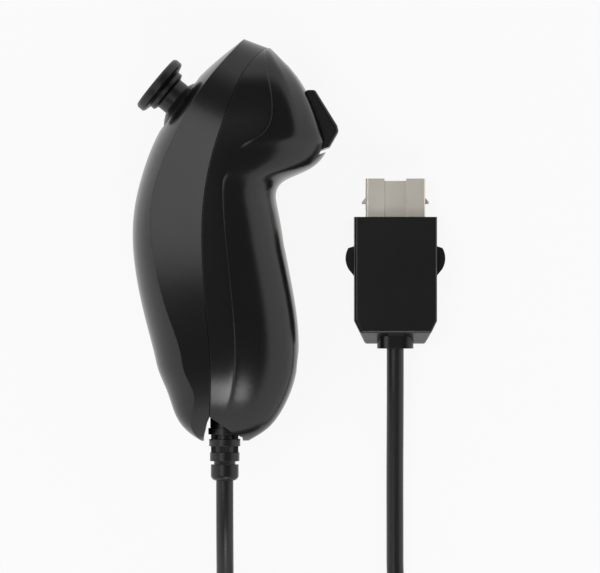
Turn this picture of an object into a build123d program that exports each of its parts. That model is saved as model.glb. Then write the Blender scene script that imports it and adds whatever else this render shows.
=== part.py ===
from build123d import *

import math
import os

from scipy.interpolate import Akima1DInterpolator, CubicSpline

# A hand controller lies on its side with its nose towards +Y, its stick towards -X and its
# trigger towards +X. Its plug lies beside it and its lead is coiled beyond the tail.
# Millimetres, +Z up. The controller's own pieces are drawn about its middle plane at Z 0 and
# are raised by half its width when they are written.

# Shells: overall sizes
shell_length = 102.7
shell_depth = 49.5
shell_width = 38.2
shell_wall = 2.0
seam_gap = 0.12
mid_height = shell_width / 2

# Shells: outlines in the side view, as (share of length along the wand, share of depth)
face_shares = [
    (-0.512, -0.12), (-0.497, -0.18), (-0.472, -0.253), (-0.423, -0.315), (-0.348, -0.374),
    (-0.248, -0.434), (-0.149, -0.485), (-0.075, -0.513), (0.013, -0.527), (0.125, -0.499),
    (0.199, -0.452), (0.248, -0.408), (0.308, -0.345), (0.397, -0.196), (0.437, -0.113),
    (0.467, -0.034), (0.497, 0.045), (0.537, 0.153),
]
crease_shares = [
    (-0.55, -0.14), (-0.435, -0.127), (-0.319, -0.121), (-0.21, -0.135), (-0.083, -0.156),
    (-0.01, -0.162), (0.099, -0.152), (0.221, -0.101), (0.325, -0.028), (0.399, 0.036),
    (0.436, 0.085), (0.476, 0.166), (0.55, 0.33),
]
belly_shares = [
    (-0.53, -0.05), (-0.497, 0.077), (-0.472, 0.16), (-0.423, 0.242), (-0.373, 0.293),
    (-0.323, 0.319), (-0.261, 0.329), (-0.174, 0.315), (-0.099, 0.289), (-0.025, 0.259),
    (0.05, 0.232), (0.099, 0.212), (0.125, 0.216), (0.149, 0.263), (0.174, 0.382),
    (0.208, 0.457), (0.234, 0.479), (0.252, 0.471), (0.359, 0.379), (0.388, 0.345),
    (0.418, 0.299), (0.447, 0.242), (0.477, 0.18), (0.53, 0.05),
]
# Radius of the face's crown across the wand, as a share of its width
crown_shares = [
    (-0.55, 0.25), (-0.434, 0.27), (-0.32, 0.39), (-0.163, 0.5), (-0.01, 0.568),
    (0.121, 0.68), (0.282, 0.735), (0.42, 0.86), (0.54, 0.94),
]
# Power of the belly's section: 2 is an ellipse, and more is squarer
square_shares = [
    (-0.53, 2.3), (-0.4, 2.4), (-0.1, 2.5), (0.1, 2.35), (0.17, 2.1), (0.22, 2.2),
    (0.265, 3.0), (0.35, 3.2), (0.43, 3.0), (0.53, 2.6),
]
# Outline seen from the face: its ends, its draft and its roundness
plan_nose_share = 0.507
plan_tail_share = -0.4995
plan_crease_share = -0.162
plan_half_share = 0.4836
band_draft = 18.0
nose_slope_share = -0.38
plan_power = 2.3
nose_bias_share = 0.1
# Where the sections of the lofts stand, as shares of the length
face_station_shares = [
    -0.525, -0.497, -0.477, -0.448, -0.41, -0.35, -0.27, -0.195, -0.1, 0.0, 0.1, 0.195,
    0.27, 0.35, 0.41, 0.457, 0.497, 0.535,
]
belly_station_shares = [
    -0.33, -0.263, -0.195, -0.127, -0.058, 0.0, 0.049, 0.088, 0.117, 0.141, 0.161, 0.18,
    0.204, 0.229, 0.248, 0.273, 0.312, 0.35,
]
belly_tail_share = -0.4985
belly_nose_share = 0.4756
tail_step_shares = [0.0, 0.005, 0.016, 0.033, 0.058, 0.097]
nose_step_shares = [0.083, 0.058, 0.039, 0.0234, 0.0117, 0.0044, 0.0]
section_points = 13
plan_points = 32
inset_steps = 8
crease_overlap = 1.5
cutter_reach = shell_length

# Thumbstick, along its own axis from the face
stick_along_share = 0.345
stick_angle = 140.5
pivot_depth = 10.5
stick_tilt = 15.0
cap_height = 7.6
cap_diameter = 15.5
cap_rim = 2.5
cap_dish = 0.55
cap_ridge = 0.4
cap_ring_diameter = 10.6
cap_cone = 0.5
cap_collar_diameter = 11.2
cap_collar = 1.1
stem_diameter = 8.9
dome_rise = 1.4
dome_wall = 1.0
dome_angle = 62.0
dome_gap = 0.3
opening_flats = 18.1
shaft_diameter = 3.0
shaft_length = 16.0
cross_pin_diameter = 1.4
foot_radius = 3.4
foot_diameter = 4.0
foot_top = 2.6

# Stick module
frame_size = 13.0
frame_wall = 0.8
frame_top = 1.5
frame_bottom = 7.0
base_thickness = 0.8
rocker_length = 7.6
rocker_width = 5.2
rocker_height = 3.4
rocker_slot_length = 5.6
rocker_clearance = 0.15
trunnion_diameter = 2.0
arch_inner = 3.9
arch_wall = 1.2
arch_width = 4.8
arch_leg = 0.9
arch_slot_length = 6.2
pot_thickness = 2.5
pot_width = 6.8
pot_height = 6.6
pot_floor = 0.4
running_clearance = 0.05
seat_diameter = 5.2
seat_gap = 0.2
seat_bottom = 4.6
seat_top = 3.2
spring_diameter = 3.8
spring_wire = 0.45
spring_turns = 2.5

# Main board behind the stick module
board_thickness = 1.2
board_width = 21.0
board_nose = 8.0
board_tail = 24.5
board_post_diameter = 3.8
board_post_place_shares = [(0.51, 0.38), (0.51, -0.38), (0.88, 0.0)]
board_screw_diameter = 1.6
board_screw_head = 3.2
board_screw_head_height = 1.1
board_screw_length = 5.0
chip_size = 7.0
chip_height = 1.0
accelerometer_size = 4.0
accelerometer_height = 0.9
component_length = 1.8
component_width = 1.1
component_height = 0.7
header_length = 5.0
header_width = 7.0
header_height = 3.4
header_wall = 0.6
header_plug_length = 6.2

# Buttons on the front wall
trigger_along_share = 0.306
trigger_angle = 21.8
trigger_swing = 5.5
trigger_width = 13.6
trigger_top = 7.0
trigger_bottom = 8.4
trigger_inside = 2.6
trigger_gap = 0.35
trigger_play = 0.8
trigger_wall = 1.5
trigger_round = 0.9
trigger_pivot_up = 6.4
trigger_pivot_in = 4.6
trigger_ear = 1.6
trigger_ear_radius = 1.8
trigger_ear_spacing = 7.6
trigger_lip = 1.0
plunger_diameter = 3.2
plunger_reach = 4.0
plunger_down = 4.0
pin_diameter = 2.0
pin_length = 12.5
c_along_share = 0.418
c_angle = 39.9
c_width = 8.8
c_height = 5.4
c_recess = 0.1
c_body = 3.4
c_gap = 0.25
c_flange = 1.2
c_flange_thickness = 0.8
c_stem_diameter = 2.8
c_stem_reach = 3.7
c_travel = 1.0
button_board_in = 7.6
button_board_thickness = 1.0
button_board_bottom = 6.5
button_board_top = 15.0
button_board_width = 15.0
pad_thickness = 0.6
pad_dome_height = 0.2
trigger_dome_height = 1.6
pad_dome_diameter = 4.4
bracket_thickness = 1.2
bracket_width = 22.0
bracket_ear = 1.3
bracket_post_diameter = 3.4
bracket_screw_length = 4.2
bracket_hole = 1.7

# Shell screws
screw_along_shares = [-0.01, -0.302]
boss_diameter = 6.2
screw_diameter = 2.3
screw_head_diameter = 4.8
screw_head_height = 1.8
screw_seat = 5.2
screw_length = 12.0
screw_clearance = 0.1
screw_recess_gap = 0.3
drive_width = 0.7
drive_depth = 0.8

# Strain relief and the tail's opening
relief_x = -2.6
relief_radius = 4.2
relief_end_radius = 3.55
relief_core_radius = 2.75
relief_flange_radius = 5.2
relief_flange_thickness = 1.5
relief_start = 42.8
relief_neck_radius = 3.7
relief_end = 61.3
relief_gap = 0.2
relief_ring_edges = [48.0, 49.6, 50.8, 52.6, 54.2, 56.4, 57.3, 61.3]
relief_spine_width = 2.6
arch_shares = [
    (-1.02, -0.545), (-1.02, -0.49), (-0.88, -0.455), (-0.73, -0.437), (-0.13, -0.457),
    (0.35, -0.477), (0.88, -0.49), (0.95, -0.545),
]

# Lead
cord_diameter = 4.4
wire_diameter = 0.7
wire_pitch = 0.85
wire_count = 4

# Plug
plug_x = 41.2
plug_thickness = 11.0
plug_width = 21.3
plug_front = 6.0
plug_rear_top = 23.7
plug_rear = 26.7
plug_corner = 2.9
plug_wall = 1.6
plug_round = 0.8
plug_seam = 0.1
metal_width = 15.3
metal_height = 7.4
metal_front = 15.9
metal_inside = 0.9
metal_wall = 0.6
metal_deck = 1.1
metal_channel = 5.7
metal_channel_depth = 0.5
metal_channel_step = 0.6
insulator_base_width = 9.6
insulator_base_front = 2.0
tongue_width = 8.2
tongue_thickness = 1.8
tongue_recess = 1.2
contact_width = 0.9
contact_thickness = 0.25
contact_pitch = 2.3
contact_length = 12.0
arm_offset = 6.2
arm_thickness = 0.6
arm_height = 3.0
arm_pivot = 17.0
arm_eye_radius = 1.5
latch_pin_diameter = 1.6
latch_swing = 3.0
hook_rear = 9.4
hook_front = 12.2
hook_reach = 0.95
hook_play = 0.5
release_front = 1.5
release_rear = 9.2
release_reach = 2.2
release_height = 4.6
release_gap = 0.3
grommet_width = 9.7
grommet_height = 6.4
grommet_length = 5.6
grommet_proud = 1.2

# Coil of the lead that is put away, on the surface beyond the tail
coil_x = 19.2
coil_y = -124.0
coil_outer_radius = 30.1
coil_pitch = 4.9
coil_turns = 3
coil_rise = 4.9
coil_gap_limit = 0.4
coil_samples = 24

# Route of the lead from the strain relief down to the coil, and from the coil to the plug
lead_points = [
    (-2.6, -61.3, 19.1), (-2.6, -69.5, 19.1), (-2.6, -79.0, 16.6), (-2.6, -89.0, 11.4),
    (-4.6, -98.0, 6.6), (-8.8, -105.5, 3.4), (-10.9, -112.5, 2.2), (-10.9, -119.6, 2.2),
]
tail_points = [
    (49.3, -119.6, 7.1), (49.3, -112.5, 7.1), (47.2, -105.5, 5.0), (43.2, -98.0, 2.8),
    (41.2, -89.0, 2.2), (41.2, -76.0, 2.3), (41.15, -61.0, 2.9), (41.2, -46.0, 4.2),
    (41.2, -36.0, 5.5), (41.2, -27.9, 5.5),
]


def along(shares, size=1, kind=CubicSpline):
    """A smooth value at any place along the wand, from a table of shares."""
    fit = kind([place for place, _ in shares], [value for _, value in shares])
    return lambda y: float(fit(y / shell_length)) * size


face_x = along(face_shares, shell_depth)
crease_x = along(crease_shares, shell_depth)
belly_x = along(belly_shares, shell_depth, Akima1DInterpolator)
crown_radius = along(crown_shares, shell_width, Akima1DInterpolator)
squareness = along(square_shares, kind=Akima1DInterpolator)


def eroded(profile, y, inset):
    """The profile moved square to itself, inward, so that a wall is even round a bend."""
    steps = [k / inset_steps for k in range(-inset_steps, inset_steps + 1)]
    return min(profile(y + inset * t) - inset * math.sqrt(1 - t * t) for t in steps)


def plan_size(x, inset):
    """Half width, nose end and tail end of the outline seen from the face, at one depth."""
    draft = math.radians(band_draft)
    half = shell_width * plan_half_share - inset / math.cos(draft)
    half += (x - shell_depth * plan_crease_share) * math.tan(draft)
    nose = shell_length * plan_nose_share + x * nose_slope_share
    nose -= inset * math.hypot(1, nose_slope_share)
    return half, nose, shell_length * plan_tail_share + inset


def plan_half(x, y):
    """Half width of the shells at a place in the side view."""
    half, nose, tail = plan_size(x, 0)
    place = (2 * y - nose - tail) / (nose - tail)
    if abs(place) >= 1:
        return 0.0
    return half * (1 - abs(place) ** plan_power) ** (1 / plan_power) * (1 + nose_bias_share * place)


def crease_half(y):
    return plan_half(crease_x(y), y)


def plan_wire(x, inset):
    half, nose, tail = plan_size(x, inset)
    points = []
    for k in range(plan_points):
        turn = 2 * math.pi * k / plan_points
        place = math.copysign(abs(math.cos(turn)) ** (2 / plan_power), math.cos(turn))
        side = math.copysign(abs(math.sin(turn)) ** (2 / plan_power), math.sin(turn))
        y = (nose + tail) / 2 + (nose - tail) / 2 * place
        points.append((x, y, half * side * (1 + nose_bias_share * place)))
    return Wire([Edge.make_spline(points, periodic=True)])


def plan_prism(inset=0):
    """The drafted wall that the band is part of, from behind the face to the belly."""
    reach = shell_depth / 4
    return Solid.make_loft([plan_wire(x, inset) for x in (-2.3 * reach, reach)], ruled=True)


def face_section(y, inset):
    """A crowned arc across the face, with flared sides that stay outside the shells."""
    x = -eroded(lambda v: -face_x(v), y, inset)
    radius = crown_radius(y) - inset
    arc_half_angle = math.radians(72)
    arc_x = x + radius * (1 - math.cos(arc_half_angle))
    arc_z = radius * math.sin(arc_half_angle)
    flare = shell_depth / 2
    far = shell_depth
    corners = [
        (arc_x, y, arc_z), (arc_x + flare, y, arc_z + flare), (far, y, arc_z + flare),
        (far, y, -arc_z - flare), (arc_x + flare, y, -arc_z - flare), (arc_x, y, -arc_z),
    ]
    edges = [Edge.make_line(a, b) for a, b in zip(corners, corners[1:])]
    return Wire(edges + [Edge.make_three_point_arc(corners[-1], (x, y, 0), corners[0])])


def face_block(inset=0):
    return Solid.make_loft([face_section(s * shell_length, inset) for s in face_station_shares])


def crease_side(offset, side):
    """All that lies on one side of the line where the two shells part."""
    steps = [-0.54 + 0.04 * k for k in range(28)]
    line = [(crease_x(s * shell_length) + offset, s * shell_length) for s in steps]
    far = side * cutter_reach
    back = Polyline(line[-1], (far, line[-1][1]), (far, line[0][1]), line[0])
    outline = Wire([Spline(*line).edge(), *back.edges()])
    return extrude(Face(outline), cutter_reach / 2, both=True)


def belly_section(y, inset):
    """The bottom shell's section, from the crease round the belly to the crease."""
    half = eroded(crease_half, y, inset) if inset else crease_half(y)
    end = eroded(belly_x, y, inset) if inset else belly_x(y)
    start = crease_x(y) - crease_overlap
    power = 2 / squareness(y)
    points = []
    for k in range(section_points):
        turn = math.pi * (k / (section_points - 1) - 0.5)
        side = math.copysign(abs(math.sin(turn)) ** power, turn)
        points.append((start + (end - start) * abs(math.cos(turn)) ** power, y, half * side))
    points[0] = (start, y, -half)
    points[-1] = (start, y, half)
    knots = [k / (section_points - 1) for k in range(section_points)]
    curve = Edge.make_spline(points, tangents=[(1, 0, 0), (-1, 0, 0)], parameters=knots)
    return Wire([curve, Edge.make_line(points[-1], points[0])])


def belly_block(inset=0):
    tail = shell_length * belly_tail_share + inset
    nose = shell_length * belly_nose_share - inset * 1.6
    places = [tail + s * shell_length for s in tail_step_shares]
    places += [s * shell_length for s in belly_station_shares]
    places += [nose - s * shell_length for s in nose_step_shares]
    return Solid.make_loft([belly_section(y, inset) for y in places])


# Frames of the pieces that stand at an angle, each with its Z axis outward
def frame_at(x, y, angle):
    """X along the wall, Y across the wand, Z outward at an angle from +X."""
    out = (math.cos(math.radians(angle)), math.sin(math.radians(angle)), 0)
    return Plane(origin=(x, y, 0), x_dir=(-out[1], out[0], 0), z_dir=out)


stick_y = stick_along_share * shell_length
stick_out = (math.cos(math.radians(stick_angle)), math.sin(math.radians(stick_angle)))
pivot_x = face_x(stick_y) - pivot_depth * stick_out[0]
pivot_y = stick_y - pivot_depth * stick_out[1]
stick_plane = frame_at(pivot_x, pivot_y, stick_angle)
trigger_y = trigger_along_share * shell_length
trigger_plane = frame_at(belly_x(trigger_y), trigger_y, trigger_angle)
c_y = c_along_share * shell_length
c_plane = frame_at(belly_x(c_y), c_y, c_angle)


def rod(radius, start, end, axis="Z"):
    """A cylinder along one axis, from a start to an end on that axis."""
    turned = {"Z": (0, 0, 0), "X": (0, 90, 0), "Y": (-90, 0, 0)}[axis]
    low = min(start, end)
    body = Cylinder(radius, abs(end - start), align=(Align.CENTER, Align.CENTER, Align.MIN))
    place = {"Z": (0, 0, low), "X": (low, 0, 0), "Y": (0, low, 0)}[axis]
    return Pos(*place) * Rot(*turned) * body


def block(low, high):
    """A box between two corners."""
    size = [b - a for a, b in zip(low, high)]
    middle = [(a + b) / 2 for a, b in zip(low, high)]
    return Pos(*middle) * Box(*size)


def in_frame(plane, shape):
    return plane.location * shape


def cap_profile():
    """Half section of the thumb cap: a dished top with raised rings, a rim and the stem."""
    top = pivot_depth + cap_height
    rim = cap_diameter / 2
    ring = cap_ring_diameter / 2
    collar = cap_collar_diameter / 2
    dome_outer = pivot_depth + dome_rise
    stem = stem_diameter / 2
    stem_foot = math.sqrt(dome_outer ** 2 - stem ** 2) - dome_wall / 2
    points = [
        (0, top - cap_dish), (ring - 2 * cap_ridge, top - cap_dish),
        (ring - cap_ridge, top - cap_dish + cap_ridge), (ring, top - cap_dish + cap_ridge),
        (ring + cap_ridge, top - cap_dish), (rim - 2.4 * cap_ridge, top - cap_dish),
        (rim - 1.6 * cap_ridge, top), (rim - cap_ridge, top), (rim, top - cap_ridge * 1.5),
        (rim, top - cap_rim + cap_ridge), (rim - cap_ridge, top - cap_rim),
        (collar, top - cap_rim - cap_cone), (collar, top - cap_rim - cap_cone - cap_collar),
        (stem, top - cap_rim - 2 * cap_cone - cap_collar), (stem, stem_foot), (0, stem_foot),
    ]
    return Plane.XZ * make_face(Polyline(*points, close=True))


def dome_profile():
    """Half section of the dome that hides the opening under the cap."""
    outer = pivot_depth + dome_rise
    inner = outer - dome_wall
    spread = math.radians(dome_angle)

    def on(radius, angle):
        return (radius * math.sin(angle), radius * math.cos(angle))

    edges = [
        ThreePointArc(on(outer, 0), on(outer, spread / 2), on(outer, spread)),
        Line(on(outer, spread), on(inner, spread)),
        ThreePointArc(on(inner, spread), on(inner, spread / 2), on(inner, 0)),
        Line(on(inner, 0), on(outer, 0)),
    ]
    return Plane.XZ * make_face(edges)


def thumb_cap():
    cap = revolve(cap_profile(), Axis.Z) + revolve(dome_profile(), Axis.Z)
    bore = rod(shaft_diameter / 2, 0, shaft_length)
    return in_frame(stick_plane, cap - bore)


def stick_shaft():
    shaft = rod(shaft_diameter / 2, -foot_top, shaft_length)
    foot = rod(foot_diameter / 2, -foot_radius, -foot_top) & Sphere(foot_radius)
    cheek = rocker_width / 2 - rocker_clearance
    return in_frame(stick_plane, shaft + foot + rod(cross_pin_diameter / 2, -cheek, cheek, "Y"))


def inner_rocker():
    """The yoke that carries the shaft on its cross pin and turns along the wand."""
    slot = shaft_diameter / 2 + rocker_clearance
    ends = frame_size / 2
    body = Box(rocker_length, rocker_width, rocker_height)
    far = ends + pot_thickness - pot_floor * 1.5
    body += rod(trunnion_diameter / 2, -ends, far, "X")
    body -= Box(rocker_slot_length, 2 * slot, 2 * rocker_height)
    hole = cross_pin_diameter / 2 + running_clearance
    body -= rod(hole, -rocker_width, rocker_width, "Y")
    return in_frame(stick_plane, body)


def outer_rocker():
    """The arch over the yoke, with a slot that the shaft passes through."""
    slot = shaft_diameter / 2 + rocker_clearance
    outer = arch_inner + arch_wall
    half = arch_width / 2
    arch = rod(outer, -half, half, "X") & block((-half, -outer, -arch_leg), (half, outer, outer))
    ends = frame_size / 2
    far = ends + pot_thickness - pot_floor * 1.5
    arch += rod(trunnion_diameter / 2, -ends, far, "Y")
    arch -= rod(arch_inner, -outer, outer, "X")
    arch -= block((-slot, -arch_slot_length / 2, 0), (slot, arch_slot_length / 2, 2 * outer))
    return in_frame(stick_plane, arch)


def module_frame():
    half = frame_size / 2
    inner = half - frame_wall
    body = block((-half, -half, -frame_bottom), (half, half, frame_top))
    body -= block((-inner, -inner, -2 * frame_bottom), (inner, inner, 2 * frame_bottom))
    hole = trunnion_diameter / 2 + running_clearance
    return in_frame(stick_plane, body - rod(hole, -half, half, "X") - rod(hole, -half, half, "Y"))


def module_base():
    half = frame_size / 2
    low = (-half, -half, -frame_bottom - base_thickness)
    return in_frame(stick_plane, block(low, (half, half, -frame_bottom)))


def potentiometer(axis):
    """A rotary sensor on the frame's side, with a bore for the rocker's end."""
    near = frame_size / 2
    far = near + pot_thickness
    low = (near, -pot_width / 2, -pot_height / 2)
    high = (far, pot_width / 2, pot_height / 2)
    if axis == "Y":
        low, high = (low[1], low[0], low[2]), (high[1], high[0], high[2])
    bore = rod(trunnion_diameter / 2 + running_clearance, near, far - pot_floor, axis)
    return in_frame(stick_plane, block(low, high) - bore)


def spring_seat():
    cup = rod(seat_diameter / 2, -seat_bottom, -seat_top) - Sphere(foot_radius + seat_gap)
    return in_frame(stick_plane, cup)


def return_spring():
    height = frame_bottom - seat_bottom - spring_wire
    radius = (spring_diameter - spring_wire) / 2
    path = Edge.make_helix(height / spring_turns, height, radius)
    ring = Plane(origin=path @ 0, z_dir=path % 0) * Circle(spring_wire / 2)
    coil = sweep(ring, path)
    return in_frame(stick_plane, Pos(0, 0, -frame_bottom + spring_wire / 2) * coil)


# Main board: its outer face lies on the module's base plate
board_face = -frame_bottom - base_thickness
board_places = [(near * board_tail, side * board_width) for near, side in board_post_place_shares]


def main_board():
    low = (-board_nose, -board_width / 2, board_face - board_thickness)
    body = block(low, (board_tail, board_width / 2, board_face))
    for x, y in board_places:
        body -= Pos(x, y, 0) * rod(board_screw_diameter / 2 + screw_clearance, 2 * board_face, 0)
    return in_frame(stick_plane, body)


def board_posts():
    """Posts from the face down to the board, before they are trimmed to the shell."""
    posts = None
    for x, y in board_places:
        post = Pos(x, y, 0) * rod(board_post_diameter / 2, board_face, shell_depth)
        bore = board_screw_diameter / 2 + running_clearance
        post -= Pos(x, y, 0) * rod(bore, board_face, board_face + board_screw_length)
        posts = post if posts is None else posts + post
    return in_frame(stick_plane, posts)


def board_screws():
    under = board_face - board_thickness
    screws = []
    for x, y in board_places:
        shank = rod(board_screw_diameter / 2, under, under + board_screw_length)
        head = rod(board_screw_head / 2, under - board_screw_head_height, under)
        end = under - board_screw_head_height
        slot = block(
            (-board_screw_head, -drive_width / 4, end),
            (board_screw_head, drive_width / 4, end + board_screw_head_height / 2),
        )
        screws.append(in_frame(stick_plane, Pos(x, y, 0) * (shank + head - slot)))
    return Compound(screws)


def on_board(x, y, length, width, height):
    """A box on the board's inner side."""
    under = board_face - board_thickness
    low = (x - length / 2, y - width / 2, under - height)
    return in_frame(stick_plane, block(low, (x + length / 2, y + width / 2, under)))


def controller_chip():
    return on_board(board_tail * 0.36, 0, chip_size, chip_size, chip_height)


def accelerometer_chip():
    size = accelerometer_size
    return on_board(board_tail * 0.72, board_width * 0.2, size, size, accelerometer_height)


def board_components():
    parts = []
    for k in range(4):
        x = k * component_length * 1.7 - board_nose * 0.5
        parts.append(on_board(x, board_width * 0.38, component_length, component_width, component_height))
        parts.append(on_board(x, -board_width * 0.38, component_length, component_width, component_height))
    return Compound(parts)


header_x = board_tail * 0.8
header_y = -board_width * 0.29


header_plug_start = header_x - header_length / 2 + header_wall + running_clearance


def cord_header():
    """An open socket on the board that the lead's inner plug is pushed into."""
    under = board_face - board_thickness
    body = on_board(header_x, header_y, header_length, header_width, header_height)
    side = header_width / 2 - header_wall
    low = (header_x - header_length / 2 + header_wall, header_y - side, under - header_height + header_wall)
    high = (header_x + header_length, header_y + side, under - header_wall)
    return body - in_frame(stick_plane, block(low, high))


def header_plug():
    under = board_face - board_thickness
    gap = running_clearance
    side = header_width / 2 - header_wall - gap
    low = (header_plug_start, header_y - side, under - header_height + header_wall + gap)
    high = (header_plug_start + header_plug_length, header_y + side, under - header_wall - gap)
    return in_frame(stick_plane, block(low, high))


def tube(points, diameter):
    """A round lead along straight runs joined by the largest arcs that its runs allow."""
    vectors = [Vector(*p) for p in points]
    radii = []
    for before, at, after in zip(vectors, vectors[1:], vectors[2:]):
        turn = math.radians((at - before).get_angle(after - at))
        radii.append(0.45 * min((at - before).length, (after - at).length) / math.tan(turn / 2))
    path = FilletPolyline(*points, radius=radii)
    ring = Plane(origin=path @ 0, z_dir=path % 0) * Circle(diameter / 2)
    return sweep(ring, path=path), radii, path.length


def core_wires():
    """Insulated wires from the header's plug down to the strain relief."""
    start = header_plug_start + header_plug_length
    level = board_face - board_thickness - header_height / 2
    out = stick_plane.from_local_coords(Vector(start, 0, level))
    wires = []
    for k in range(wire_count):
        side = header_y + (k - (wire_count - 1) / 2) * wire_pitch
        end = (k - (wire_count - 1) / 2) * wire_pitch
        points = [
            (out.X, out.Y, side),
            (out.X + shell_depth * 0.03, out.Y - shell_length * 0.06, side),
            (crease_x(0) - shell_depth * 0.02, -shell_length * 0.12, side - wire_pitch / 2),
            (relief_x - shell_depth * 0.05, -shell_length * 0.24, side - wire_pitch),
            (relief_x - shell_depth * 0.02, -shell_length * 0.33, side - wire_pitch / 2),
            (relief_x, -shell_length * 0.38, end),
            (relief_x, -relief_start, end * 0.9),
        ]
        wires.append(tube(points, wire_diameter)[0])
    return Compound(wires)


def strain_relief():
    """A ribbed sleeve moulded on the lead, with a flange that the shells hold."""
    rings = relief_ring_edges
    body = rod(relief_flange_radius, -relief_start - relief_flange_thickness, -relief_start, "Y")
    body += rod(relief_neck_radius, -rings[0], -relief_start, "Y")
    body += rod(relief_core_radius, -relief_end, -relief_start, "Y")
    body += rod(relief_radius, -rings[1], -rings[0], "Y")
    body += rod((relief_radius * 2 + relief_end_radius) / 3, -rings[3], -rings[2], "Y")
    body += rod((relief_radius + relief_end_radius * 2) / 3, -rings[5], -rings[4], "Y")
    last = rod(relief_end_radius, -rings[7], -rings[6], "Y")
    rim = last.edges().filter_by(GeomType.CIRCLE).sort_by(Axis.Y)[0]
    body += fillet(rim, relief_end_radius - cord_diameter / 2 - seam_gap)
    spine = relief_spine_width / 2
    across = relief_end_radius * 0.98
    body += block((-across, -rings[4], -spine), (across, -rings[1], spine))
    body += block((-spine, -rings[6], -across), (spine, -rings[3], across))
    return Pos(relief_x, 0, 0) * body


def z_button():
    """The lower trigger: a hollow cap on two ears that turn on a pin under its top edge."""
    outline = Polyline(
        (trigger_top, 0), (trigger_top - 0.1 * trigger_top, trigger_inside * 0.68),
        (-trigger_bottom * 0.49, trigger_inside * 1.39), (-trigger_bottom * 0.67, trigger_inside * 1.3),
        (-trigger_bottom, -seam_gap), (-trigger_bottom + seam_gap, -trigger_inside),
        (trigger_top - trigger_gap, -trigger_inside), close=True,
    )
    face = Plane.XZ * make_face(outline)
    body = extrude(face, trigger_width / 2, both=True)
    outer = [e for e in body.edges() if e.center().Z > trigger_inside * 0.4]
    body = fillet(outer, trigger_round)
    side = trigger_width / 2 - trigger_wall
    low = (-trigger_bottom + 1.6 * trigger_wall, -side, -2 * trigger_inside)
    body -= block(low, (trigger_top - 1.4 * trigger_wall, side, trigger_inside * 0.25))
    body += Pos(-plunger_down, 0, 0) * rod(plunger_diameter / 2, -plunger_reach, trigger_inside * 0.4)
    for across in (-trigger_ear_spacing / 2, trigger_ear_spacing / 2):
        ear = rod(trigger_ear_radius, across - trigger_ear / 2, across + trigger_ear / 2, "Y")
        ear = Pos(trigger_pivot_up, 0, -trigger_pivot_in) * ear
        low = (trigger_pivot_up - trigger_ear_radius, across - trigger_ear / 2, -trigger_pivot_in)
        high = (trigger_pivot_up - trigger_ear_radius / 3, across + trigger_ear / 2, -trigger_inside / 2)
        body += ear + block(low, high)
    for side in (-1, 1):
        lip = trigger_width / 2 + trigger_lip
        near, far = sorted((side * side_wall(), side * lip))
        low = (-trigger_bottom * 0.06, near, -trigger_inside - trigger_lip * 1.6)
        body += block(low, (trigger_bottom * 0.3, far, -trigger_inside - trigger_lip))
        near, far = sorted((side * side_wall(), side * trigger_width / 2))
        low = (-trigger_bottom * 0.06, near, -trigger_inside - trigger_lip * 1.3)
        body += block(low, (trigger_bottom * 0.3, far, -trigger_inside / 2))
    bore = rod(pin_diameter / 2 + running_clearance, -trigger_width, trigger_width, "Y")
    body -= Pos(trigger_pivot_up, 0, -trigger_pivot_in) * bore
    return in_frame(trigger_plane, body)


def side_wall():
    return trigger_width / 2 - trigger_wall


def trigger_pin():
    pin = rod(pin_diameter / 2, -pin_length / 2, pin_length / 2, "Y")
    return in_frame(trigger_plane, Pos(trigger_pivot_up, 0, -trigger_pivot_in) * pin)


def trigger_opening():
    """The hole in the front wall that the lower trigger moves in."""
    side = trigger_width / 2 + trigger_gap
    low = (-trigger_bottom - trigger_play, -side, -trigger_inside * 2)
    hole = block(low, (trigger_top + trigger_gap, side, 3 * trigger_inside))
    return in_frame(trigger_plane, fillet(hole.edges().filter_by(Axis.Z), trigger_round))


def c_outline(grow):
    return RectangleRounded(c_height + 2 * grow, c_width + 2 * grow, c_height * 0.42)


def c_button():
    """The small upper button: an oval cap, flush with the front wall, on side flanges."""
    cap = extrude(c_outline(0), c_body)
    cap = Pos(0, 0, -c_body) * cap
    cap = fillet(cap.edges().group_by(Axis.Z)[-1], c_recess * 5)
    flange = block(
        (-c_height / 3, -c_width / 2 - c_flange, -c_body),
        (c_height / 3, c_width / 2 + c_flange, -c_body + c_flange_thickness),
    )
    stem = rod(c_stem_diameter / 2, -c_stem_reach, -c_body / 2)
    return in_frame(c_plane, Pos(0, 0, -c_recess) * (cap + flange + stem))


def c_opening():
    hole = extrude(c_outline(c_gap), c_body)
    return in_frame(c_plane, Pos(0, 0, -c_body * 0.8) * hole)


def button_board():
    half = button_board_width / 2
    low = (-button_board_bottom, -half, -button_board_in - button_board_thickness)
    return in_frame(trigger_plane, block(low, (button_board_top, half, -button_board_in)))


# Where the upper button's stem points at the board, in the lower trigger's frame
c_down = trigger_plane.to_local_coords(c_plane.from_local_coords(Vector(0, 0, -c_stem_reach - c_travel)))


def dome_pad():
    """One rubber sheet on the board, with a dome under each button."""
    half = button_board_width / 2 - pad_thickness
    low = (-button_board_bottom + pad_thickness, -half, -button_board_in)
    sheet = block(low, (button_board_top - pad_thickness, half, -button_board_in + pad_thickness))
    level = -button_board_in + pad_thickness
    base = level - pad_thickness / 2
    dome = Pos(-plunger_down, 0, 0) * rod(pad_dome_diameter / 2, base, level + trigger_dome_height)
    small = Pos(c_down.X, 0, 0) * rod(pad_dome_diameter / 2.6, base, level + pad_dome_height)
    return in_frame(trigger_plane, sheet + dome + small)


bracket_floor = -button_board_in - button_board_thickness - bracket_thickness
bracket_places = [
    (button_board_top * 0.72, bracket_width / 2 - bracket_post_diameter / 2),
    (-button_board_bottom * 0.45, bracket_width / 2 - bracket_post_diameter / 2),
]


def mirrored(places):
    return [(x, side * y) for x, y in places for side in (-1, 1)]


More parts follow.
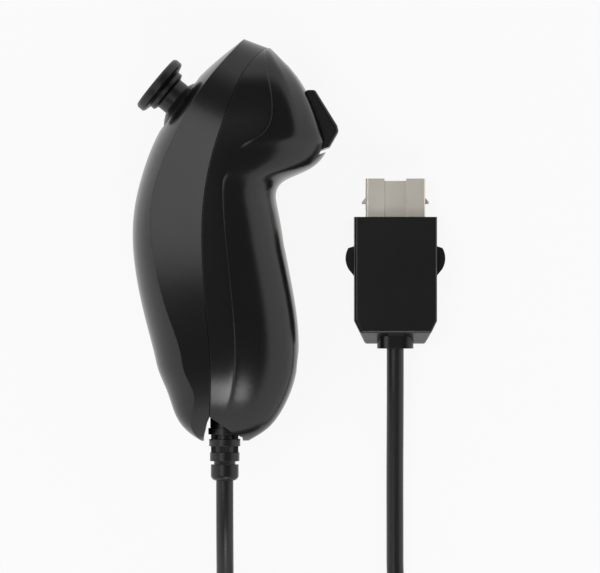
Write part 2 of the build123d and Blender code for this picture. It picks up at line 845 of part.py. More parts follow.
def button_bracket():
    """A plate under the button board, with two ears for the trigger's pin."""
    low = (-button_board_bottom * 0.9, -bracket_width / 2, bracket_floor)
    plate = block(low, (button_board_top, bracket_width / 2, bracket_floor + bracket_thickness))
    near = trigger_ear_spacing / 2 + trigger_ear / 2 + trigger_gap
    for side in (-1, 1):
        a, b = sorted((side * near, side * (near + bracket_ear)))
        ear = Pos(trigger_pivot_up, 0, -trigger_pivot_in) * rod(trigger_ear_radius, a, b, "Y")
        low = (trigger_pivot_up - trigger_ear_radius, a, bracket_floor + bracket_thickness / 2)
        plate += ear + block(low, (trigger_pivot_up + trigger_ear_radius, b, -trigger_pivot_in))
    hole = rod(pin_diameter / 2, -bracket_width, bracket_width, "Y")
    plate -= Pos(trigger_pivot_up, 0, -trigger_pivot_in) * hole
    for x, y in mirrored(bracket_places):
        plate -= Pos(x, y, 0) * rod(bracket_hole / 2, 2 * bracket_floor, 0)
    return in_frame(trigger_plane, plate)


def bracket_slots(shape):
    """The board and its pad are notched round the bracket's ears."""
    near = trigger_ear_spacing / 2 + trigger_ear / 2 + trigger_gap - seam_gap
    for side in (-1, 1):
        a, b = sorted((side * near, side * (near + bracket_ear + 2 * seam_gap)))
        reach = trigger_ear_radius + seam_gap
        low = (trigger_pivot_up - reach, a, bracket_floor + bracket_thickness)
        shape -= in_frame(trigger_plane, block(low, (trigger_pivot_up + reach, b, 0)))
    return shape


def bracket_posts():
    posts = None
    level = bracket_floor + bracket_thickness
    for x, y in mirrored(bracket_places):
        post = Pos(x, y, 0) * rod(bracket_post_diameter / 2, level, trigger_bottom)
        post -= Pos(x, y, 0) * rod(bracket_hole / 2, level, level + bracket_screw_length)
        posts = post if posts is None else posts + post
    return in_frame(trigger_plane, posts)


def bracket_screws():
    radius = bracket_hole / 2 - running_clearance
    screws = []
    for x, y in mirrored(bracket_places):
        shank = rod(radius, bracket_floor, bracket_floor + bracket_screw_length)
        head = rod(bracket_hole, bracket_floor - board_screw_head_height, bracket_floor)
        slot = block(
            (-bracket_hole, -drive_width / 4, bracket_floor - board_screw_head_height),
            (bracket_hole, drive_width / 4, bracket_floor - board_screw_head_height / 2),
        )
        screws.append(in_frame(trigger_plane, Pos(x, y, 0) * (shank + head - slot)))
    return Compound(screws)


screw_places = [s * shell_length for s in screw_along_shares]


def shell_screws():
    """Two screws from the belly into the face's bosses, with a three-winged drive."""
    screws = []
    for y in screw_places:
        seat = crease_x(y) + screw_seat
        screw = rod(screw_diameter / 2, seat - screw_length, seat, "X")
        screw += rod(screw_head_diameter / 2, seat, seat + screw_head_height, "X")
        for turn in range(3):
            low = (seat + screw_head_height - drive_depth, -drive_width / 2, 0)
            wing = block(low, (seat + 2 * screw_head_height, drive_width / 2, screw_head_diameter * 0.36))
            screw -= Rot(120 * turn, 0, 0) * wing
        screws.append(Pos(0, y, 0) * screw)
    return Compound(screws)


def tail_opening():
    """The pointed arch at the tail that the strain relief shows through, and its bore."""
    points = [(relief_x + x * relief_flange_radius, y * shell_length) for x, y in arch_shares]
    outline = make_face(Polyline(*points, close=True))
    arch = extrude(outline, shell_width, both=True)
    bore = rod(relief_neck_radius + relief_gap, -relief_end, -relief_start + 2 * shell_wall, "Y")
    far = -relief_start - relief_flange_thickness - relief_gap
    slot = rod(relief_flange_radius + relief_gap, far, -relief_start + relief_gap, "Y")
    wide = rod(relief_radius + relief_gap, -relief_end, -relief_ring_edges[0] + relief_gap, "Y")
    return [arch, Pos(relief_x, 0, 0) * (bore + slot + wide)]


def relief_collar():
    """A wall inside the tail that the strain relief's flange bears on."""
    end = -relief_start - relief_flange_thickness - relief_gap
    low = (-shell_depth, end - shell_wall, -shell_width)
    return block(low, (shell_depth, end, shell_width)) + block(
        (-shell_depth, -relief_start - relief_gap, -shell_width),
        (shell_depth, -relief_start + shell_wall - relief_gap, shell_width),
    )


def top_shell():
    """The face and the drafted band along its sides."""
    left = crease_side(-seam_gap / 2, -1)
    solid = plan_prism() & face_block() & left
    cavity = plan_prism(shell_wall) & face_block(shell_wall) & crease_side(crease_overlap, -1)
    shell = solid - cavity
    bosses = board_posts()
    for y in screw_places:
        boss = rod(boss_diameter / 2, -shell_depth, crease_x(y), "X")
        boss -= rod(screw_diameter / 2 + running_clearance, crease_x(y) + screw_seat - screw_length, 0, "X")
        bosses += Pos(0, y, 0) * boss
    shell += bosses & solid
    flats = opening_flats / 2 / math.cos(math.pi / 8)
    gate = extrude(RegularPolygon(flats, 8, rotation=0), shell_depth)
    shell -= in_frame(stick_plane, Pos(0, 0, pivot_depth / 2) * gate)
    shell -= in_frame(stick_plane, Sphere(pivot_depth + dome_rise + dome_gap))
    for cut in tail_opening():
        shell -= cut
    return shell


def bottom_shell():
    """The belly and the hooked front, with the openings for the two buttons."""
    right = crease_side(seam_gap / 2, 1)
    solid = belly_block() & right
    shell = solid - (belly_block(shell_wall) - relief_collar())
    bosses = bracket_posts()
    for y in screw_places:
        seat = crease_x(y) + screw_seat
        boss = rod(boss_diameter / 2, -shell_depth, shell_depth, "X")
        boss -= rod(screw_diameter / 2 + screw_clearance, -shell_depth, shell_depth, "X")
        bosses += Pos(0, y, 0) * boss
    shell += bosses & solid
    for y in screw_places:
        seat = crease_x(y) + screw_seat
        recess = rod(screw_head_diameter / 2 + screw_recess_gap, seat, shell_depth, "X")
        shell -= Pos(0, y, 0) * recess
    for cut in [trigger_opening(), c_opening()] + tail_opening():
        shell -= cut
    return shell


# Plug: drawn on the surface, its thickness along Z
plug_mid = plug_thickness / 2


def plug_block(inset=0):
    """The housing's outline, with clipped rear corners and a rear face that slopes."""
    half = plug_width / 2 - inset
    front = plug_front - inset
    rear = -plug_rear + inset
    clip = plug_corner + (plug_rear - plug_rear_top)
    points = [
        (plug_x - half, front), (plug_x - half, rear + clip), (plug_x - half + plug_corner, rear),
        (plug_x + half - plug_corner, rear), (plug_x + half, rear + clip), (plug_x + half, front),
    ]
    body = extrude(make_face(Polyline(*points, close=True)), plug_thickness - 2 * inset)
    body = Pos(0, 0, inset) * body
    slope = [
        (rear - plug_wall, plug_mid * 0.6), (rear, plug_mid * 0.6),
        (-plug_rear_top + inset, plug_thickness - inset), (rear - plug_wall, plug_thickness + plug_wall),
        (rear - 2 * plug_wall, plug_thickness + plug_wall),
    ]
    wedge = extrude(Plane.YZ * make_face(Polyline(*slope, close=True)), 2 * plug_x)
    return body - wedge


def plug_openings():
    """The windows of the two releases, the mouth for the metal nose and the lead's hole."""
    gap = release_gap / 2
    up = release_height / 2 + release_gap
    side = metal_width / 2 + running_clearance
    high = metal_height / 2 + running_clearance
    cuts = [
        block(
            (plug_x - plug_width, -release_rear - release_gap, plug_mid - up),
            (plug_x + plug_width, -release_front + release_gap, plug_mid + up),
        ),
        block((plug_x - side, 0, plug_mid - high), (plug_x + side, 2 * plug_front, plug_mid + high)),
    ]
    collar = extrude(SlotOverall(grommet_width - 2 * gap, grommet_height - 2 * gap), 2 * plug_rear)
    cuts.append(Pos(plug_x, plug_wall - plug_rear_top, plug_mid) * Rot(90, 0, 0) * collar)
    return cuts


def plug_half(low, high):
    body = plug_block()
    rounded = [e for e in body.edges() if e.center().Y < plug_front - seam_gap]
    body = fillet(rounded, plug_round)
    reach = block((0, -plug_rear, 0), (2 * plug_x, plug_front - plug_wall, plug_thickness))
    body -= plug_block(plug_wall) & reach
    for cut in plug_openings():
        body -= cut
    posts = None
    for side in (-1, 1):
        post = Pos(plug_x + side * arm_offset_mid(), -arm_pivot, 0)
        post = post * rod(arm_eye_radius, plug_wall / 2, plug_thickness - plug_wall / 2)
        posts = post if posts is None else posts + post
    play = arm_height / 2 + seam_gap
    posts -= block((0, -plug_rear, plug_mid - play), (2 * plug_x, 0, plug_mid + play))
    for side in (-1, 1):
        hole = rod(latch_pin_diameter / 2, plug_wall, plug_thickness - plug_wall)
        posts -= Pos(plug_x + side * arm_offset_mid(), -arm_pivot, 0) * hole
    body += posts
    return body & block((0, -2 * plug_rear, low), (2 * plug_x, 2 * plug_front, high))


def arm_offset_mid():
    return arm_offset + arm_thickness / 2


def plug_metal_shell():
    """The sheet-metal nose: two blocks beside a sunken deck, open at its front."""
    half = metal_width / 2
    low = plug_mid - metal_height / 2
    high = plug_mid + metal_height / 2
    body = block((-half, -metal_inside, low), (half, metal_front, high))
    body = fillet(body.edges().filter_by(Axis.Y), metal_wall)
    body -= block(
        (-half + metal_wall, -2 * metal_inside, low + metal_deck),
        (half - metal_wall, 2 * metal_front, high - metal_deck),
    )
    channel = metal_channel / 2
    for a, b in ((low, low + metal_channel_depth), (high - metal_channel_depth, high)):
        body -= block((-channel, -2 * metal_inside, a), (channel, 2 * metal_front, b))
    step = block((-channel, metal_front - metal_channel_step, 0), (channel, 2 * metal_front, plug_thickness))
    body -= step
    play = arm_height / 2 + hook_play
    low = (-metal_width, hook_rear - hook_play, plug_mid - play)
    body -= block(low, (metal_width, hook_front + hook_play, plug_mid + play))
    return Pos(plug_x, 0, 0) * body


def plug_insulator():
    """The moulded block in the nose, with the tongue that carries the contacts."""
    half = insulator_base_width / 2
    thick = metal_height / 2 - metal_deck
    base = block((-half, -metal_inside, plug_mid - thick), (half, insulator_base_front, plug_mid + thick))
    side = tongue_width / 2
    deck = tongue_thickness / 2
    tongue = block((-side, 0, plug_mid - deck), (side, metal_front - tongue_recess, plug_mid + deck))
    return Pos(plug_x, 0, 0) * (base + tongue)


def plug_contacts():
    """Six contact strips, three on each face of the tongue."""
    strips = []
    start = insulator_base_front
    deck = tongue_thickness / 2
    for k in (-1, 0, 1):
        x = plug_x + k * contact_pitch
        for low in (plug_mid + deck, plug_mid - deck - contact_thickness):
            strips.append(block(
                (x - contact_width / 2, start, low),
                (x + contact_width / 2, start + contact_length, low + contact_thickness),
            ))
    return Compound(strips)


def latch_arm(side):
    """A sprung strip with an eye at its rear and a hook that shows beside the nose."""
    inner = arm_offset
    outer = arm_offset + arm_thickness
    strip = block((inner, -arm_pivot, -arm_height / 2), (outer, hook_front, arm_height / 2))
    eye = Pos(arm_offset_mid(), -arm_pivot, 0) * rod(arm_eye_radius, -arm_height / 2, arm_height / 2)
    tip = metal_width / 2 + hook_reach
    hook = Polyline(
        (inner, hook_rear), (tip, hook_rear), (tip, hook_rear + hook_reach * 0.5),
        (outer, hook_front), (inner, hook_front), close=True,
    )
    hook = Pos(0, 0, -arm_height / 2) * extrude(make_face(hook), arm_height)
    body = strip + eye + hook
    hole = rod(latch_pin_diameter / 2 + running_clearance, -arm_height, arm_height)
    body -= Pos(arm_offset_mid(), -arm_pivot, 0) * hole
    return on_plug(body, side)


def on_plug(body, side):
    if side < 0:
        body = mirror(body, Plane.YZ)
    return Pos(plug_x, 0, plug_mid) * body


def release_button(side):
    """The plastic pad that squeezes one latch arm inward."""
    start = arm_offset + arm_thickness
    tip = plug_width / 2 + release_reach
    flank = plug_width / 2
    length = release_rear - release_front
    edges = [
        Line((start, -release_rear), (flank, -release_rear)),
        Line((flank, -release_rear), (flank + 0.62 * release_reach, -release_rear + 0.22 * length)),
        ThreePointArc(
            (flank + 0.62 * release_reach, -release_rear + 0.22 * length),
            (tip, -release_front - 0.42 * length),
            (flank + 0.68 * release_reach, -release_front - 0.06 * length),
        ),
        Line((flank + 0.68 * release_reach, -release_front - 0.06 * length), (flank, -release_front)),
        Line((flank, -release_front), (start, -release_front)),
        Line((start, -release_front), (start, -release_rear)),
    ]
    body = extrude(make_face(edges), release_height / 2, both=True)
    return on_plug(body, side)


def latch_pins():
    pins = []
    for side in (-1, 1):
        pin = rod(latch_pin_diameter / 2, plug_wall, plug_thickness - plug_wall)
        pins.append(Pos(plug_x + side * arm_offset_mid(), -arm_pivot, 0) * pin)
    return Compound(pins)


def plug_grommet():
    """The oval collar that the lead leaves the plug through."""
    gap = release_gap / 2
    neck = extrude(SlotOverall(grommet_width - 2 * gap, grommet_height - 2 * gap), grommet_length)
    flange = extrude(SlotOverall(grommet_width + 2 * gap, grommet_height + 2 * gap), plug_wall / 2)
    neck = Rot(90, 0, 0) * neck
    flange = Rot(90, 0, 0) * flange
    start = -plug_rear - grommet_proud + grommet_length
    return Pos(plug_x, start, plug_mid) * neck + Pos(plug_x, start + plug_wall / 2, plug_mid) * flange


def plug_wires():
    wires = []
    start = -metal_inside
    end = -plug_rear - grommet_proud + grommet_length + plug_wall / 2
    for k in range(wire_count):
        side = (k - (wire_count - 1) / 2)
        points = [
            (plug_x + side * contact_pitch * 0.8, start, plug_mid),
            (plug_x + side * contact_pitch * 0.8, start * 0.6 + end * 0.4, plug_mid),
            (plug_x + side * wire_pitch, start * 0.25 + end * 0.75, plug_mid),
            (plug_x + side * wire_pitch, end, plug_mid),
        ]
        wires.append(tube(points, wire_diameter)[0])
    return Compound(wires)


def coil_point(turns):
    """A place on the coil: it winds in on the surface, climbs for half a turn and winds out."""
    climb = min(max((turns - coil_turns) / 0.5, 0), 1)
    climb = climb * climb * (3 - 2 * climb)
    wound = min(turns, 2 * coil_turns + 0.5 - turns)
    radius = coil_outer_radius - coil_pitch * wound
    angle = math.pi * (1 + 2 * turns)
    x = coil_x + radius * math.cos(angle)
    return Vector(x, coil_y + radius * math.sin(angle), cord_diameter / 2 + coil_rise * climb)


def coil_heading(turns):
    step = 0.01
    if turns < step:
        return Vector(0, -1, 0)
    if turns > 2 * coil_turns + 0.5 - step:
        return Vector(0, 1, 0)
    return (coil_point(turns + step) - coil_point(turns - step)).normalized()


def biarc(start, heading, end, last):
    """Two arcs that leave one place along its heading and reach the next along its own."""
    chord = end - start
    both = heading + last
    share = 2 * (1 - heading.dot(last))
    reach = (math.sqrt(chord.dot(both) ** 2 + share * chord.dot(chord)) - chord.dot(both)) / share
    joint = (start + heading * reach + end - last * reach) * 0.5
    middle = (end - last * reach - start - heading * reach).normalized()
    first = Edge.make_tangent_arc(start, heading, joint)
    return [first, Edge.make_tangent_arc(joint, middle, end)]


def coil():
    """The lead's turns as one unbroken tube, with its length and its least gap to itself."""
    quarters = int(4 * (2 * coil_turns + 0.5))
    stations = [k / 4 for k in range(quarters + 1)]
    edges = []
    for a, b in zip(stations, stations[1:]):
        edges += biarc(coil_point(a), coil_heading(a), coil_point(b), coil_heading(b))
    first, last = coil_point(stations[0]), coil_point(stations[-1])
    edges = [Edge.make_line(first + Vector(0, cord_diameter, 0), first)] + edges
    edges.append(Edge.make_line(last, last + Vector(0, cord_diameter, 0)))
    path = Wire(edges)
    ring = Plane(origin=path @ 0, z_dir=path % 0) * Circle(cord_diameter / 2)
    return sweep(ring, path=path), path.length, coil_gap()


def coil_gap():
    """Least distance between the surfaces of turns that lie beside or on each other."""
    total = 2 * coil_turns + 0.5
    count = int(total * coil_samples)
    points = [coil_point(total * k / count) for k in range(count + 1)]
    apart = coil_samples // 3
    gaps = [
        (points[i] - points[j]).length
        for i in range(len(points)) for j in range(i + apart, len(points))
    ]
    return min(gaps) - cord_diameter


wand_parts = {
    "top_shell": top_shell,
    "bottom_shell": bottom_shell,
    "shell_screws": shell_screws,
    "thumb_cap": thumb_cap,
    "stick_shaft": stick_shaft,
    "inner_rocker": inner_rocker,
    "outer_rocker": outer_rocker,
    "module_frame": module_frame,
    "module_base": module_base,
    "potentiometer_along": lambda: potentiometer("X"),
    "potentiometer_across": lambda: potentiometer("Y"),
    "spring_seat": spring_seat,
    "return_spring": return_spring,
    "main_board": main_board,
    "board_screws": board_screws,
    "controller_chip": controller_chip,
    "accelerometer_chip": accelerometer_chip,
    "board_components": board_components,
    "cord_header": cord_header,
    "header_plug": header_plug,
    "core_wires": core_wires,
    "z_button": z_button,
    "trigger_pin": trigger_pin,
    "c_button": c_button,
    "button_board": lambda: bracket_slots(button_board()),
    "dome_pad": lambda: bracket_slots(dome_pad()),
    "button_bracket": button_bracket,
    "bracket_screws": bracket_screws,
    "strain_relief": strain_relief,
}
plug_parts = {
    "plug_top_cover": lambda: plug_half(plug_mid + plug_seam / 2, plug_thickness),
    "plug_bottom_cover": lambda: plug_half(0, plug_mid - plug_seam / 2),
    "plug_metal_shell": plug_metal_shell,
    "plug_insulator": plug_insulator,
    "plug_contacts": plug_contacts,
    "plug_wires": plug_wires,
    "plug_grommet": plug_grommet,
    "latch_arm_left": lambda: latch_arm(-1),
    "latch_arm_right": lambda: latch_arm(1),
    "release_button_left": lambda: release_button(-1),
    "release_button_right": lambda: release_button(1),
    "latch_pins": latch_pins,
}


def write(node, shape):
    export_step(shape, f"parts/{node}.step")


os.makedirs("parts", exist_ok=True)
for node, make in wand_parts.items():
    write(node, Pos(0, 0, mid_height) * make())
for node, make in plug_parts.items():
    write(node, make())

lead, lead_radii, lead_length = tube(lead_points, cord_diameter)
tail, tail_radii, tail_length = tube(tail_points, cord_diameter)
turns, turns_length, gap = coil()
write("cord_lead", lead)
write("cord_coil", turns)
write("cord_tail", tail)
print("arc radii, lead:", [round(r, 1) for r in lead_radii])
print("arc radii, tail:", [round(r, 1) for r in tail_radii])
print("lead length:", round(lead_length + tail_length + turns_length, 1))
print("coil's least gap to itself:", round(gap, 2), "over", coil_gap_limit)
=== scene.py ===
import math

import bpy
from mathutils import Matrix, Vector


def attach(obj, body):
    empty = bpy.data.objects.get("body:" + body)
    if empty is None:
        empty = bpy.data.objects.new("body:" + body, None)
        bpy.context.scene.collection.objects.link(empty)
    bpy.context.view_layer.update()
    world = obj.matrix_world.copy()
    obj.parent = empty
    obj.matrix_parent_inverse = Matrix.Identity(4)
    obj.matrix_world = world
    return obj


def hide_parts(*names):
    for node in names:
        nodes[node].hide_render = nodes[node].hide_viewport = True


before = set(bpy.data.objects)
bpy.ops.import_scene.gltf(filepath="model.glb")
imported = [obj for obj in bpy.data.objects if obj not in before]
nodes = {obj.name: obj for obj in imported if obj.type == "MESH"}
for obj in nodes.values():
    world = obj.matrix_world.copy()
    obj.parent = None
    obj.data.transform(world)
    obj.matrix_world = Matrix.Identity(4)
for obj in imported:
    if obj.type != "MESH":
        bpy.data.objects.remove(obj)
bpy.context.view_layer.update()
mm = 0.001
print("frame loaded:", len(nodes), "nodes")

# Camera: straight above the controller, far back, with a long lens
view = {
    "centre": (16.6 * mm, -11.9 * mm),
    "width": 153.06 * mm,  # what the picture's width covers at the controller's middle plane
    "distance": 1.1,
    "level": 19.1 * mm,
    "sensor": 36.0,
    "farthest": 20,
}


def makeCamera():
    camera = bpy.data.objects.new("camera", bpy.data.cameras.new("camera"))
    bpy.context.scene.collection.objects.link(camera)
    camera.data.sensor_width = view["sensor"]
    camera.data.lens = view["sensor"] * view["distance"] / view["width"]
    camera.data.clip_end = view["farthest"]
    camera.location = (*view["centre"], view["level"] + view["distance"])
    bpy.context.scene.camera = camera


# Lead: from the strain relief to the coil, round the coil and back to the plug
lead = {
    "diameter": 4.4 * mm,
    "length": 1.07,
    "down": [
        (-2.6, -61.3, 19.1), (-2.6, -69.5, 19.1), (-2.6, -79.0, 16.6), (-2.6, -89.0, 11.4),
        (-4.6, -98.0, 6.6), (-8.8, -105.5, 3.4), (-10.9, -112.5, 2.2), (-10.9, -119.6, 2.2),
    ],
    "up": [
        (49.3, -119.6, 7.1), (49.3, -112.5, 7.1), (47.2, -105.5, 5.0), (43.2, -98.0, 2.8),
        (41.2, -89.0, 2.2), (41.2, -76.0, 2.3), (41.15, -61.0, 2.9), (41.2, -46.0, 4.2),
        (41.2, -36.0, 5.5), (41.2, -27.9, 5.5),
    ],
    "coilCentre": (19.2, -124.0),
    "coilRadius": 30.1,
    "coilPitch": 4.9,
    "coilTurns": 3,
    "coilRise": 4.9,
    "coilLevel": 2.2,
    "pointsPerTurn": 24,
    "ringSteps": 6,
    "lengthSteps": 8,
    "order": 3,
}


def coilPoints():
    total = 2 * lead["coilTurns"] + 0.5
    count = int(total * lead["pointsPerTurn"])
    points = []
    for k in range(count + 1):
        turns = total * k / count
        climb = min(max((turns - lead["coilTurns"]) / 0.5, 0), 1)
        climb = climb * climb * (3 - 2 * climb)
        radius = lead["coilRadius"] - lead["coilPitch"] * min(turns, total - turns)
        angle = math.pi * (1 + 2 * turns)
        x = lead["coilCentre"][0] + radius * math.cos(angle)
        y = lead["coilCentre"][1] + radius * math.sin(angle)
        points.append((x, y, lead["coilLevel"] + lead["coilRise"] * climb))
    return points


def makeLead():
    points = lead["down"] + coilPoints() + lead["up"]
    curve = bpy.data.curves.new("lead", "CURVE")
    curve.dimensions = "3D"
    curve.bevel_depth = lead["diameter"] / 2
    curve.bevel_resolution = lead["ringSteps"]
    curve.resolution_u = lead["lengthSteps"]
    curve.use_fill_caps = True
    spline = curve.splines.new("NURBS")
    spline.points.add(len(points) - 1)
    for spot, (x, y, z) in zip(spline.points, points):
        spot.co = (x * mm, y * mm, z * mm, 1)
    spline.order_u = lead["order"]
    spline.use_endpoint_u = True
    cord = bpy.data.objects.new("lead", curve)
    bpy.context.scene.collection.objects.link(cord)
    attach(cord, "wand")
    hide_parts("cord_lead", "cord_coil", "cord_tail")
    return cord


makeCamera()
leadPiece = makeLead()
print("camera and lead made")


# Materials
surface = {
    "grainDetail": 3,
    "cloudScale": 90,
    "cloudDetail": 4,
    "glossSpread": (0.88, 1.14),
    "shadeSpread": (0.9, 1.1),
    "bumpDepth": 0.00004,
    "edgeSamples": 4,
    "specular": 0.5,
    "coatRough": 0.1,
}


def newMaterial(name):
    material = bpy.data.materials.new(name)
    material.use_nodes = True
    tree = material.node_tree
    shader = tree.nodes["Principled BSDF"]
    return material, tree, shader


# A moulded or metal finish: its colour and gloss vary a little, with grain and soft edges
def moulded(name, look):
    material, tree, shader = newMaterial(name)
    add = tree.nodes.new
    link = tree.links.new
    place = add("ShaderNodeTexCoord")
    grain = add("ShaderNodeTexNoise")
    grain.inputs["Scale"].default_value = look["grainScale"]
    grain.inputs["Detail"].default_value = surface["grainDetail"]
    link(place.outputs["Object"], grain.inputs["Vector"])
    cloud = add("ShaderNodeTexNoise")
    cloud.inputs["Scale"].default_value = surface["cloudScale"]
    cloud.inputs["Detail"].default_value = surface["cloudDetail"]
    link(place.outputs["Object"], cloud.inputs["Vector"])
    gloss = add("ShaderNodeMapRange")
    leastGloss, mostGloss = surface["glossSpread"]
    gloss.inputs["To Min"].default_value = look["rough"] * leastGloss
    gloss.inputs["To Max"].default_value = look["rough"] * mostGloss
    link(cloud.outputs["Fac"], gloss.inputs["Value"])
    link(gloss.outputs["Result"], shader.inputs["Roughness"])
    shade = add("ShaderNodeMix")
    shade.data_type = "RGBA"
    darker, lighter = surface["shadeSpread"]
    shade.inputs["A"].default_value = (*[c * darker for c in look["colour"]], 1)
    shade.inputs["B"].default_value = (*[c * lighter for c in look["colour"]], 1)
    link(cloud.outputs["Fac"], shade.inputs["Factor"])
    link(shade.outputs["Result"], shader.inputs["Base Color"])
    bump = add("ShaderNodeBump")
    bump.inputs["Strength"].default_value = look["grain"]
    bump.inputs["Distance"].default_value = surface["bumpDepth"]
    link(grain.outputs["Fac"], bump.inputs["Height"])
    if look.get("edge"):
        soft = add("ShaderNodeBevel")
        soft.samples = surface["edgeSamples"]
        soft.inputs["Radius"].default_value = look["edge"]
        link(soft.outputs["Normal"], bump.inputs["Normal"])
    link(bump.outputs["Normal"], shader.inputs["Normal"])
    shader.inputs["Metallic"].default_value = look.get("metal", 0)
    shader.inputs["Specular IOR Level"].default_value = look.get("specular", surface["specular"])
    shader.inputs["Coat Weight"].default_value = look.get("coat", 0)
    shader.inputs["Coat Roughness"].default_value = look.get("coatRough", surface["coatRough"])
    return material


finishes = {
    "shell": dict(colour=(0.0045, 0.0045, 0.0048), rough=0.2, grain=0.08, grainScale=5200, edge=0.00025),
    "button": dict(colour=(0.005, 0.005, 0.0053), rough=0.26, grain=0.1, grainScale=5200, edge=0.0003),
    "stick": dict(colour=(0.006, 0.006, 0.0063), rough=0.36, grain=0.3, grainScale=3600, edge=0.0003),
    "relief": dict(colour=(0.006, 0.006, 0.0063), rough=0.32, grain=0.25, grainScale=3000, edge=0.0002),
    "lead": dict(colour=(0.009, 0.009, 0.0095), rough=0.36, grain=0.25, grainScale=2600),
    "plug": dict(colour=(0.004, 0.004, 0.0042), rough=0.3, grain=0.15, grainScale=4200, edge=0.0002),
    "nickel": dict(colour=(0.86, 0.81, 0.72), rough=0.38, grain=0.2, grainScale=2400, metal=0.6, edge=0.00015),
    "steel": dict(colour=(0.5, 0.5, 0.5), rough=0.32, grain=0.25, grainScale=2400, metal=1),
    "brass": dict(colour=(0.7, 0.52, 0.22), rough=0.28, grain=0.1, grainScale=2400, metal=1),
    "board": dict(colour=(0.02, 0.12, 0.05), rough=0.45, grain=0.3, grainScale=1600),
    "chip": dict(colour=(0.015, 0.015, 0.016), rough=0.55, grain=0.4, grainScale=3000),
    "pale": dict(colour=(0.72, 0.7, 0.65), rough=0.4, grain=0.15, grainScale=3000),
    "pad": dict(colour=(0.4, 0.4, 0.4), rough=0.6, grain=0.2, grainScale=2600),
    "wire": dict(colour=(0.4, 0.03, 0.02), rough=0.4, grain=0.2, grainScale=3000),
}
wearers = {
    "shell": ["top_shell", "bottom_shell"],
    "button": ["z_button", "c_button", "release_button_left", "release_button_right"],
    "stick": ["thumb_cap"],
    "relief": ["strain_relief"],
    "plug": ["plug_top_cover", "plug_bottom_cover", "plug_grommet", "plug_insulator"],
    "nickel": ["plug_metal_shell", "latch_arm_left", "latch_arm_right"],
    "steel": [
        "module_frame", "module_base", "return_spring", "shell_screws", "board_screws",
        "bracket_screws", "trigger_pin", "latch_pins",
    ],
    "brass": ["plug_contacts"],
    "board": ["main_board", "button_board"],
    "chip": [
        "controller_chip", "accelerometer_chip", "board_components", "potentiometer_along",
        "potentiometer_across", "inner_rocker", "outer_rocker", "spring_seat", "button_bracket",
    ],
    "pale": ["stick_shaft", "cord_header", "header_plug"],
    "pad": ["dome_pad"],
    "wire": ["core_wires", "plug_wires"],
}


def dress(piece, material):
    piece.data.materials.clear()
    piece.data.materials.append(material)


made = {name: moulded(name, look) for name, look in finishes.items()}
for finish, names in wearers.items():
    for name in names:
        dress(nodes[name], made[finish])
dress(leadPiece, made["lead"])
print("materials made:", len(made))


# Floor, world and lamps
studio = {
    "floorSize": 4.0,
    "floorDrop": 0.00005,
    "floorBounce": 0.45,
    "floorRough": 0.9,
    "paper": 0.9,
    "shadowShare": 0.1,
    "zenith": 0.16,
    "horizon": 1.0,
    "darkEnd": 0.42,  # height of a direction below which the world turns white
    "darkStart": 0.72,
}
lamps = [
    {"name": "keyBox", "place": (-0.35, 0.1, 0.75), "size": (0.5, 0.5), "power": 1.4},
    {"name": "tailBox", "place": (0.12, -0.62, 0.62), "size": (0.3, 0.22), "power": 1.3},
]


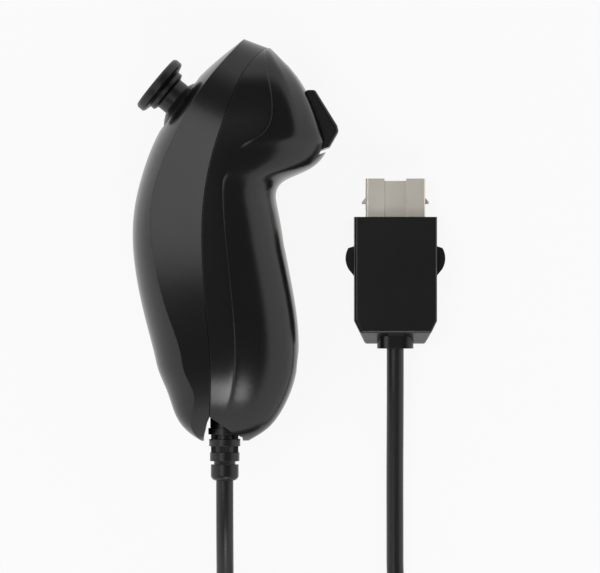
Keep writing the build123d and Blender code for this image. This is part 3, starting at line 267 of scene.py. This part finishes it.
def makeFloor():
    half = studio["floorSize"] / 2
    mesh = bpy.data.meshes.new("floor")
    level = -studio["floorDrop"]
    corners = [(-half, -half), (half, -half), (half, half), (-half, half)]
    mesh.from_pydata([(x, y, level) for x, y in corners], [], [(0, 1, 2, 3)])
    floor = bpy.data.objects.new("floor", mesh)
    bpy.context.scene.collection.objects.link(floor)
    material, tree, shader = newMaterial("floor")
    add = tree.nodes.new
    link = tree.links.new
    bounce = studio["floorBounce"]
    shader.inputs["Base Color"].default_value = (bounce, bounce, bounce, 1)
    shader.inputs["Roughness"].default_value = studio["floorRough"]
    shader.inputs["Specular IOR Level"].default_value = 0
    paper = add("ShaderNodeBsdfDiffuse")
    white = studio["paper"]
    paper.inputs["Color"].default_value = (white, white, white, 1)
    glow = add("ShaderNodeEmission")
    lit = add("ShaderNodeMixShader")
    lit.inputs["Fac"].default_value = studio["shadowShare"]
    link(glow.outputs["Emission"], lit.inputs[1])
    link(paper.outputs["BSDF"], lit.inputs[2])
    path = add("ShaderNodeLightPath")
    either = add("ShaderNodeMath")
    either.operation = "MAXIMUM"
    link(path.outputs["Is Camera Ray"], either.inputs[0])
    link(path.outputs["Is Glossy Ray"], either.inputs[1])
    seen = add("ShaderNodeMath")
    seen.operation = "MAXIMUM"
    link(either.outputs["Value"], seen.inputs[0])
    link(path.outputs["Is Transmission Ray"], seen.inputs[1])
    mix = add("ShaderNodeMixShader")
    link(seen.outputs["Value"], mix.inputs["Fac"])
    link(shader.outputs["BSDF"], mix.inputs[1])
    link(lit.outputs["Shader"], mix.inputs[2])
    link(mix.outputs["Shader"], tree.nodes["Material Output"].inputs["Surface"])
    floor.data.materials.append(material)


def makeWorld():
    world = bpy.data.worlds.new("studio")
    bpy.context.scene.world = world
    world.use_nodes = True
    tree = world.node_tree
    add = tree.nodes.new
    link = tree.links.new
    place = add("ShaderNodeTexCoord")
    parts = add("ShaderNodeSeparateXYZ")
    link(place.outputs["Generated"], parts.inputs["Vector"])
    rise = add("ShaderNodeMapRange")
    rise.interpolation_type = "SMOOTHSTEP"
    rise.inputs["From Min"].default_value = studio["darkEnd"]
    rise.inputs["From Max"].default_value = studio["darkStart"]
    rise.inputs["To Min"].default_value = studio["horizon"]
    rise.inputs["To Max"].default_value = studio["zenith"]
    link(parts.outputs["Z"], rise.inputs["Value"])
    back = tree.nodes["Background"]
    link(rise.outputs["Result"], back.inputs["Strength"])
    back.inputs["Color"].default_value = (1, 1, 1, 1)


def makeLamps():
    aim = Vector((view["centre"][0], view["centre"][1], view["level"]))
    for lamp in lamps:
        data = bpy.data.lights.new(lamp["name"], "AREA")
        data.shape = "RECTANGLE"
        data.size, data.size_y = lamp["size"]
        data.energy = lamp["power"]
        box = bpy.data.objects.new(lamp["name"], data)
        bpy.context.scene.collection.objects.link(box)
        box.location = lamp["place"]
        box.rotation_euler = (aim - Vector(lamp["place"])).to_track_quat("-Z", "Y").to_euler()


makeFloor()
makeWorld()
makeLamps()
bpy.context.scene.view_settings.view_transform = "Standard"
print("studio made")

bpy.context.view_layer.update()
